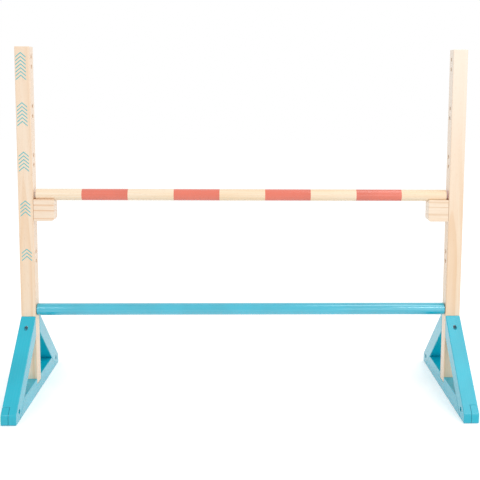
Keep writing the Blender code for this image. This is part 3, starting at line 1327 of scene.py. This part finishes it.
@dataclass
class Crossbar:
    """The fixed round bar between the posts."""

    screw: WoodScrew
    edge: Rounding = Rounding(0.0015, 4)
    sides: int = 96
    # The paint is darker in a ring at each end: painted shade where the bar meets the posts
    finish: PaintedWood = PaintedWood(
        "blue paint of the crossbar", Grain.ALONG_BARS, tint=colour(16, 186, 213),
        rubbed=colour(104, 208, 228), roughness=0.24, relief=0.03, ghost=0.02, lacquer=1.0,
        lacquer_ior=1.75, lacquer_roughness=0.07, seam_step=(0.4256, 0.4266, 0.8),
    )

    def build(self) -> None:
        """Turn, bore and dress the bar."""
        start, radius, length = rod_size("crossbar")
        end = eased_end(radius, self.edge)
        bar = turn("crossbar_rod", end + upside_down(end, length), self.sides)
        stand(bar, start, ALONG_BARS)
        for side in Side:
            cut(self.screw.bore(f"{side.label}_crossbar_screw", FIT), bar)
        hand_over(bar, "crossbar", self.finish)


@dataclass
class JumpPole:
    """The loose pole, with bands of bare wood and coral paint of equal length."""

    edge: Rounding = Rounding(0.0015, 4)
    bands: int = 9
    paint: float = 0.00008
    fade: float = 0.0003
    sides: int = 96
    wood: BareWood = BareWood(
        "wood of the jump pole", Grain.ALONG_BARS, heart=(0.010, 0.050), seed=2.3,
        pale=colour(252, 233, 207), late=colour(243, 211, 169), warm=colour(249, 222, 186), ring_strength=0.5,
    )
    coral: PaintedWood = PaintedWood(
        "coral paint of the jump pole", Grain.ALONG_BARS, roughness=0.26,
        tint=colour(234, 116, 92), rubbed=colour(244, 160, 138), relief=0.04, ghost=0.03, lacquer=0.8,
    )

    def build(self) -> None:
        """Turn the pole ring by ring, raise its painted bands and dress it."""
        start, radius, length = rod_size("jump_pole")
        band = length / self.bands
        end = eased_end(radius, self.edge)
        rings = list(end)
        for number in range(1, self.bands):
            coats = (radius, radius + self.paint) if number % 2 else (radius + self.paint, radius)
            rings += [(coats[0], number * band - self.fade), (coats[1], number * band + self.fade)]
        pole = turn("jump_pole_rod", rings + upside_down(end, length), self.sides)
        stand(pole, start, ALONG_BARS)
        hand_over(pole, "jump_pole", self.wood, self.coral)
        for face in pole.data.polygons:
            face.material_index = int((face.center.x - start.x) / band) % 2


@dataclass
class Rest:
    """A rest block: a saddle for the pole, a rounded lower corner, and two pegs in its back."""

    edge: Rounding = Rounding(0.0010, 3)
    corner: Rounding = Rounding(0.0062, 8)
    arris: Rounding = Rounding(0.0005, 2)
    saddle_clearance: float = 0.0006
    saddle_sides: int = 96
    peg_edge: float = 0.0008
    peg_sides: int = 48
    flute_every: int = 3
    flute: float = 0.93
    finishes: tuple[BareWood, BareWood] = (
        BareWood(
            "pine of the left rest", Grain.ALONG_BARS, heart=(0.3045, 0.015), ring_width=0.0140,
            wander=0.003, summer=0.62, seed=0.9, late=colour(232, 184, 140),
        ),
        BareWood(
            "pine of the right rest", Grain.ALONG_BARS, heart=(0.3030, 0.015), ring_width=0.0130,
            wander=0.003, summer=0.62, seed=3.1,
            pale=colour(251, 234, 213), late=colour(228, 190, 150), warm=colour(249, 224, 196),
        ),
    )
    peg_finish: BareWood = BareWood(
        "beech of the pegs", Grain.ALONG_BARS, heart=(0.01, 0.03), ring_width=0.0022,
        pale=colour(232, 200, 160), late=colour(214, 172, 126), warm=colour(224, 188, 144),
    )

    def peg(self, node: str) -> Object:
        """A fluted dowel with chamfered ends.

        Args:
            node: The peg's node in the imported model.

        Returns:
            The peg, in place.
        """
        start, radius, length = rod_size(node)
        end = [(radius - self.peg_edge, 0.0), (radius, self.peg_edge)]
        peg = turn(node + "_dowel", end + upside_down(end, length), self.peg_sides)

        def in_flute(co: Vector) -> bool:
            """Whether a point of the straight part lies at the bottom of a flute."""
            number = round(atan2(co.y, co.x) / (2 * pi / self.peg_sides))
            return co.xy.length > radius - WELD and number % self.flute_every == 0

        with editing(peg):
            pick(peg, in_flute)
            spread((self.flute, self.flute, 1.0))
        return stand(peg, start, ALONG_BARS)

    def block(self) -> Object:
        """The right rest's block.

        Returns:
            The block, with its saddle and the holes for its pegs.
        """
        low, high = sawn_size("right_rest")
        size = high - low
        block = saw_board("right_rest_block", (size.x, size.z), size.y, (low + high) / 2, pi / 2)
        with editing(block):
            pick(block, lambda co: co.x < low.x + MATCH and co.z < low.z + MATCH)
            round_off(self.corner)
        ease(block, self.edge)
        pole, pole_radius, _ = rod_size("jump_pole")
        radius = pole_radius + self.saddle_clearance
        saddle = turn("saddle", [(radius, 0.0), (radius, size.x + 2 * OVERCUT)], self.saddle_sides)
        cut(stand(saddle, (low.x - OVERCUT, 0.0, pole.z), ALONG_BARS), block)
        for place in ("upper", "lower"):
            peg, peg_radius, _ = rod_size(f"right_rest_{place}_peg")
            radius = peg_radius + FIT
            hole = turn("peg_hole", [(radius, 0.0), (radius, size.x)], self.peg_sides)
            cut(stand(hole, (peg.x - FIT, 0.0, peg.z), ALONG_BARS), block)
        ease(block, self.arris)
        return block

    def build(self) -> None:
        """Shape and dress both rests and their pegs."""
        hand_over_pair(self.block(), "rest", self.finishes)
        for part in ("rest_upper_peg", "rest_lower_peg"):
            hand_over_pair(self.peg("right_" + part), part, (self.peg_finish, self.peg_finish))


@dataclass
class HeightMarks:
    """The printed chevrons on the left post's front, one more at each higher level."""

    width: float = 0.0205
    rise: float = 0.0088
    stroke: float = 0.0025
    pitch: float = 0.0075
    ink: float = 0.00008
    lowest_count: int = 3
    top_above_level: float = 0.0088
    lean: float = 0.0068
    finish: PrintedInk = PrintedInk(
        "teal ink of the height marks", Grain.UPRIGHT, heart=(0.448, 0.052), seed=0.3
    )

    def group(self, count: int, place: Sequence[float]) -> Object:
        """One group of chevrons.

        Args:
            count: How many chevrons it has.
            place: Where the top of its upper chevron lies on the post's front.

        Returns:
            The group, as one piece.
        """
        bpy.ops.mesh.primitive_plane_add(size=1.0, rotation=(pi / 2, 0.0, 0.0))
        marks = start_piece(f"left_post_marks_{count}")
        with editing(marks, whole=True):
            spread((self.width, 1.0, self.stroke))
            bpy.ops.mesh.subdivide(number_cuts=1)
        with editing(marks):
            pick(marks, lambda co: abs(co.x) < WELD)
            shift((0.0, 0.0, self.rise))
        with editing(marks, whole=True):
            shift((0.0, -self.ink, -self.rise - self.stroke / 2))
            pull((0.0, 2 * self.ink, 0.0))
        repeat(marks, count, -self.pitch)
        marks.location = place
        return fix_place(marks)

    def build(self, post: Post) -> None:
        """Print and dress all groups.

        Args:
            post: The post, whose levels they mark.
        """
        low, high = sawn_size("left_post")
        for level in range(post.level_count):
            height = post.lowest_level + level * post.level_pitch + self.top_above_level
            centre = (low.x + high.x) / 2 - self.lean * (height - post.lowest_level)
            marks = self.group(self.lowest_count + level, (centre, low.y, height))
            hand_over(marks, "left_post", self.finish, added=True)


# Studio


@dataclass(frozen=True)
class Lamp:
    """A soft box."""

    name: str
    place: Place
    width: float
    height: float
    power: float


@dataclass
class Studio:
    """A plain pale floor, soft boxes and the camera."""

    floor_size: float = 14.0
    floor_drop: float = 0.0003
    floor_tone: Colour = (0.92, 0.92, 0.92, 1.0)
    floor_glow: float = 0.36
    white: Colour = (1.0, 1.0, 1.0, 1.0)
    room_light: float = 0.74
    aim: Place = (0.0, 0.0, 0.35)
    lamps: tuple[Lamp, ...] = (
        Lamp("overhead_soft_box", (0.95, -0.35, 2.4), 1.6, 1.1, 9.5),
        Lamp("left_soft_box", (-1.42, -2.2, 2.05), 0.9, 0.28, 5.0),
        Lamp("right_soft_box", (1.42, -2.2, 2.05), 1.2, 0.34, 12.0),
        Lamp("front_soft_wall", (1.4, -3.6, 0.70), 1.6, 1.6, 8.0),
    )
    camera_place: Place = (0.0019, -1.6674, 0.6576)
    yaw: float = 0.0279
    pitch: float = 0.1089
    roll: float = 0.0063
    focal_pixels: float = 812.0
    axis_pixel: Pair = (266.01, 168.0)
    sensor: float = 36.0

    def show(self, sheet: NodeSheet, plain: NodeSocket, seen: NodeSocket, output: str) -> None:
        """Show one shader to the camera and to reflections, while light falls on another.

        Args:
            sheet: The sheet of the material or the world.
            plain: The shader that light falls on.
            seen: The shader for the camera, for reflections and for what is seen through a surface.
            output: The name of the node that takes the result.
        """
        ray = sheet.node("LightPath")
        direct = sheet.sum("MAXIMUM", ray["Is Camera Ray"], ray["Is Glossy Ray"])
        direct = sheet.sum("MAXIMUM", direct, ray["Is Transmission Ray"])
        shown = sheet.node("MixShader", {0: direct, 1: plain, 2: seen})[0]
        sheet.fill(sheet.tree.nodes[output], {"Surface": shown})

    def lay_floor(self) -> None:
        """The floor, which keeps the object's shadow and is white beyond it."""
        bpy.ops.mesh.primitive_plane_add(size=self.floor_size, location=(0.0, 0.0, -self.floor_drop))
        floor = start_piece("floor")
        paper = bpy.data.materials.new("white paper")
        paper.use_nodes = True
        sheet = NodeSheet(paper.node_tree)
        matt = paper.node_tree.nodes["Principled BSDF"]
        sheet.fill(matt, {"Base Color": self.floor_tone, "Roughness": 1.0, "Specular IOR Level": 0.0})
        glow = sheet.node("Emission", {"Strength": self.floor_glow})[0]
        lit = sheet.node("AddShader", {0: matt.outputs[0], 1: glow})[0]
        self.show(sheet, matt.outputs[0], lit, "Material Output")
        floor.data.materials.append(paper)

    def light_room(self) -> None:
        """The world, which is white behind the object and lights it from all round."""
        world = bpy.data.worlds.new("white room")
        world.use_nodes = True
        bpy.context.scene.world = world
        sheet = NodeSheet(world.node_tree)
        room = world.node_tree.nodes["Background"]
        sheet.fill(room, {"Color": self.white, "Strength": self.room_light})
        backdrop = sheet.node("Background", {"Color": self.white, "Strength": 1.0})[0]
        self.show(sheet, room.outputs[0], backdrop, "World Output")

    def hang_lamps(self) -> None:
        """The soft boxes, turned to the hurdle."""
        for lamp in self.lamps:
            data = bpy.data.lights.new(lamp.name, "AREA")
            data.shape = "RECTANGLE"
            data.size, data.size_y, data.energy = lamp.width, lamp.height, lamp.power
            box = bpy.data.objects.new(lamp.name, data)
            box.visible_camera = False
            box.location = lamp.place
            box.rotation_euler = (Vector(lamp.place) - Vector(self.aim)).to_track_quat("Z", "Y").to_euler()
            bpy.context.scene.collection.objects.link(box)

    def set_camera(self) -> None:
        """The camera, at the photograph's viewing angle."""
        data = bpy.data.cameras.new("camera")
        data.sensor_width = self.sensor
        data.lens = self.focal_pixels / FRAME_WIDTH * self.sensor
        middle = FRAME_WIDTH / 2
        data.shift_x = (middle - self.axis_pixel[0]) / FRAME_WIDTH
        data.shift_y = (self.axis_pixel[1] - middle) / FRAME_WIDTH
        pose = Matrix.Translation(self.camera_place)
        for angle, axis in ((-self.yaw, "Z"), (pi / 2 - self.pitch, "X"), (self.roll, "Z")):
            pose @= Matrix.Rotation(angle, 4, axis)
        camera = bpy.data.objects.new("camera", data)
        camera.matrix_world = pose
        bpy.context.scene.collection.objects.link(camera)
        bpy.context.scene.camera = camera

    def build(self) -> None:
        """Set up the whole studio."""
        bpy.context.scene.view_settings.view_transform = "Standard"
        self.lay_floor()
        self.light_room()
        self.hang_lamps()
        self.set_camera()


def main() -> None:
    """Build the hurdle piece by piece, and the studio round it."""
    logging.basicConfig(level=logging.INFO, format="%(message)s")
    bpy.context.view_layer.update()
    screw = WoodScrew()
    post = Post(screw)
    post.build()
    Foot(screw).build()
    Crossbar(screw).build()
    JumpPole().build()
    Rest().build()
    screw.drive_all()
    HeightMarks().build(post)
    Studio().build()


if __name__ == "__main__":
    main()
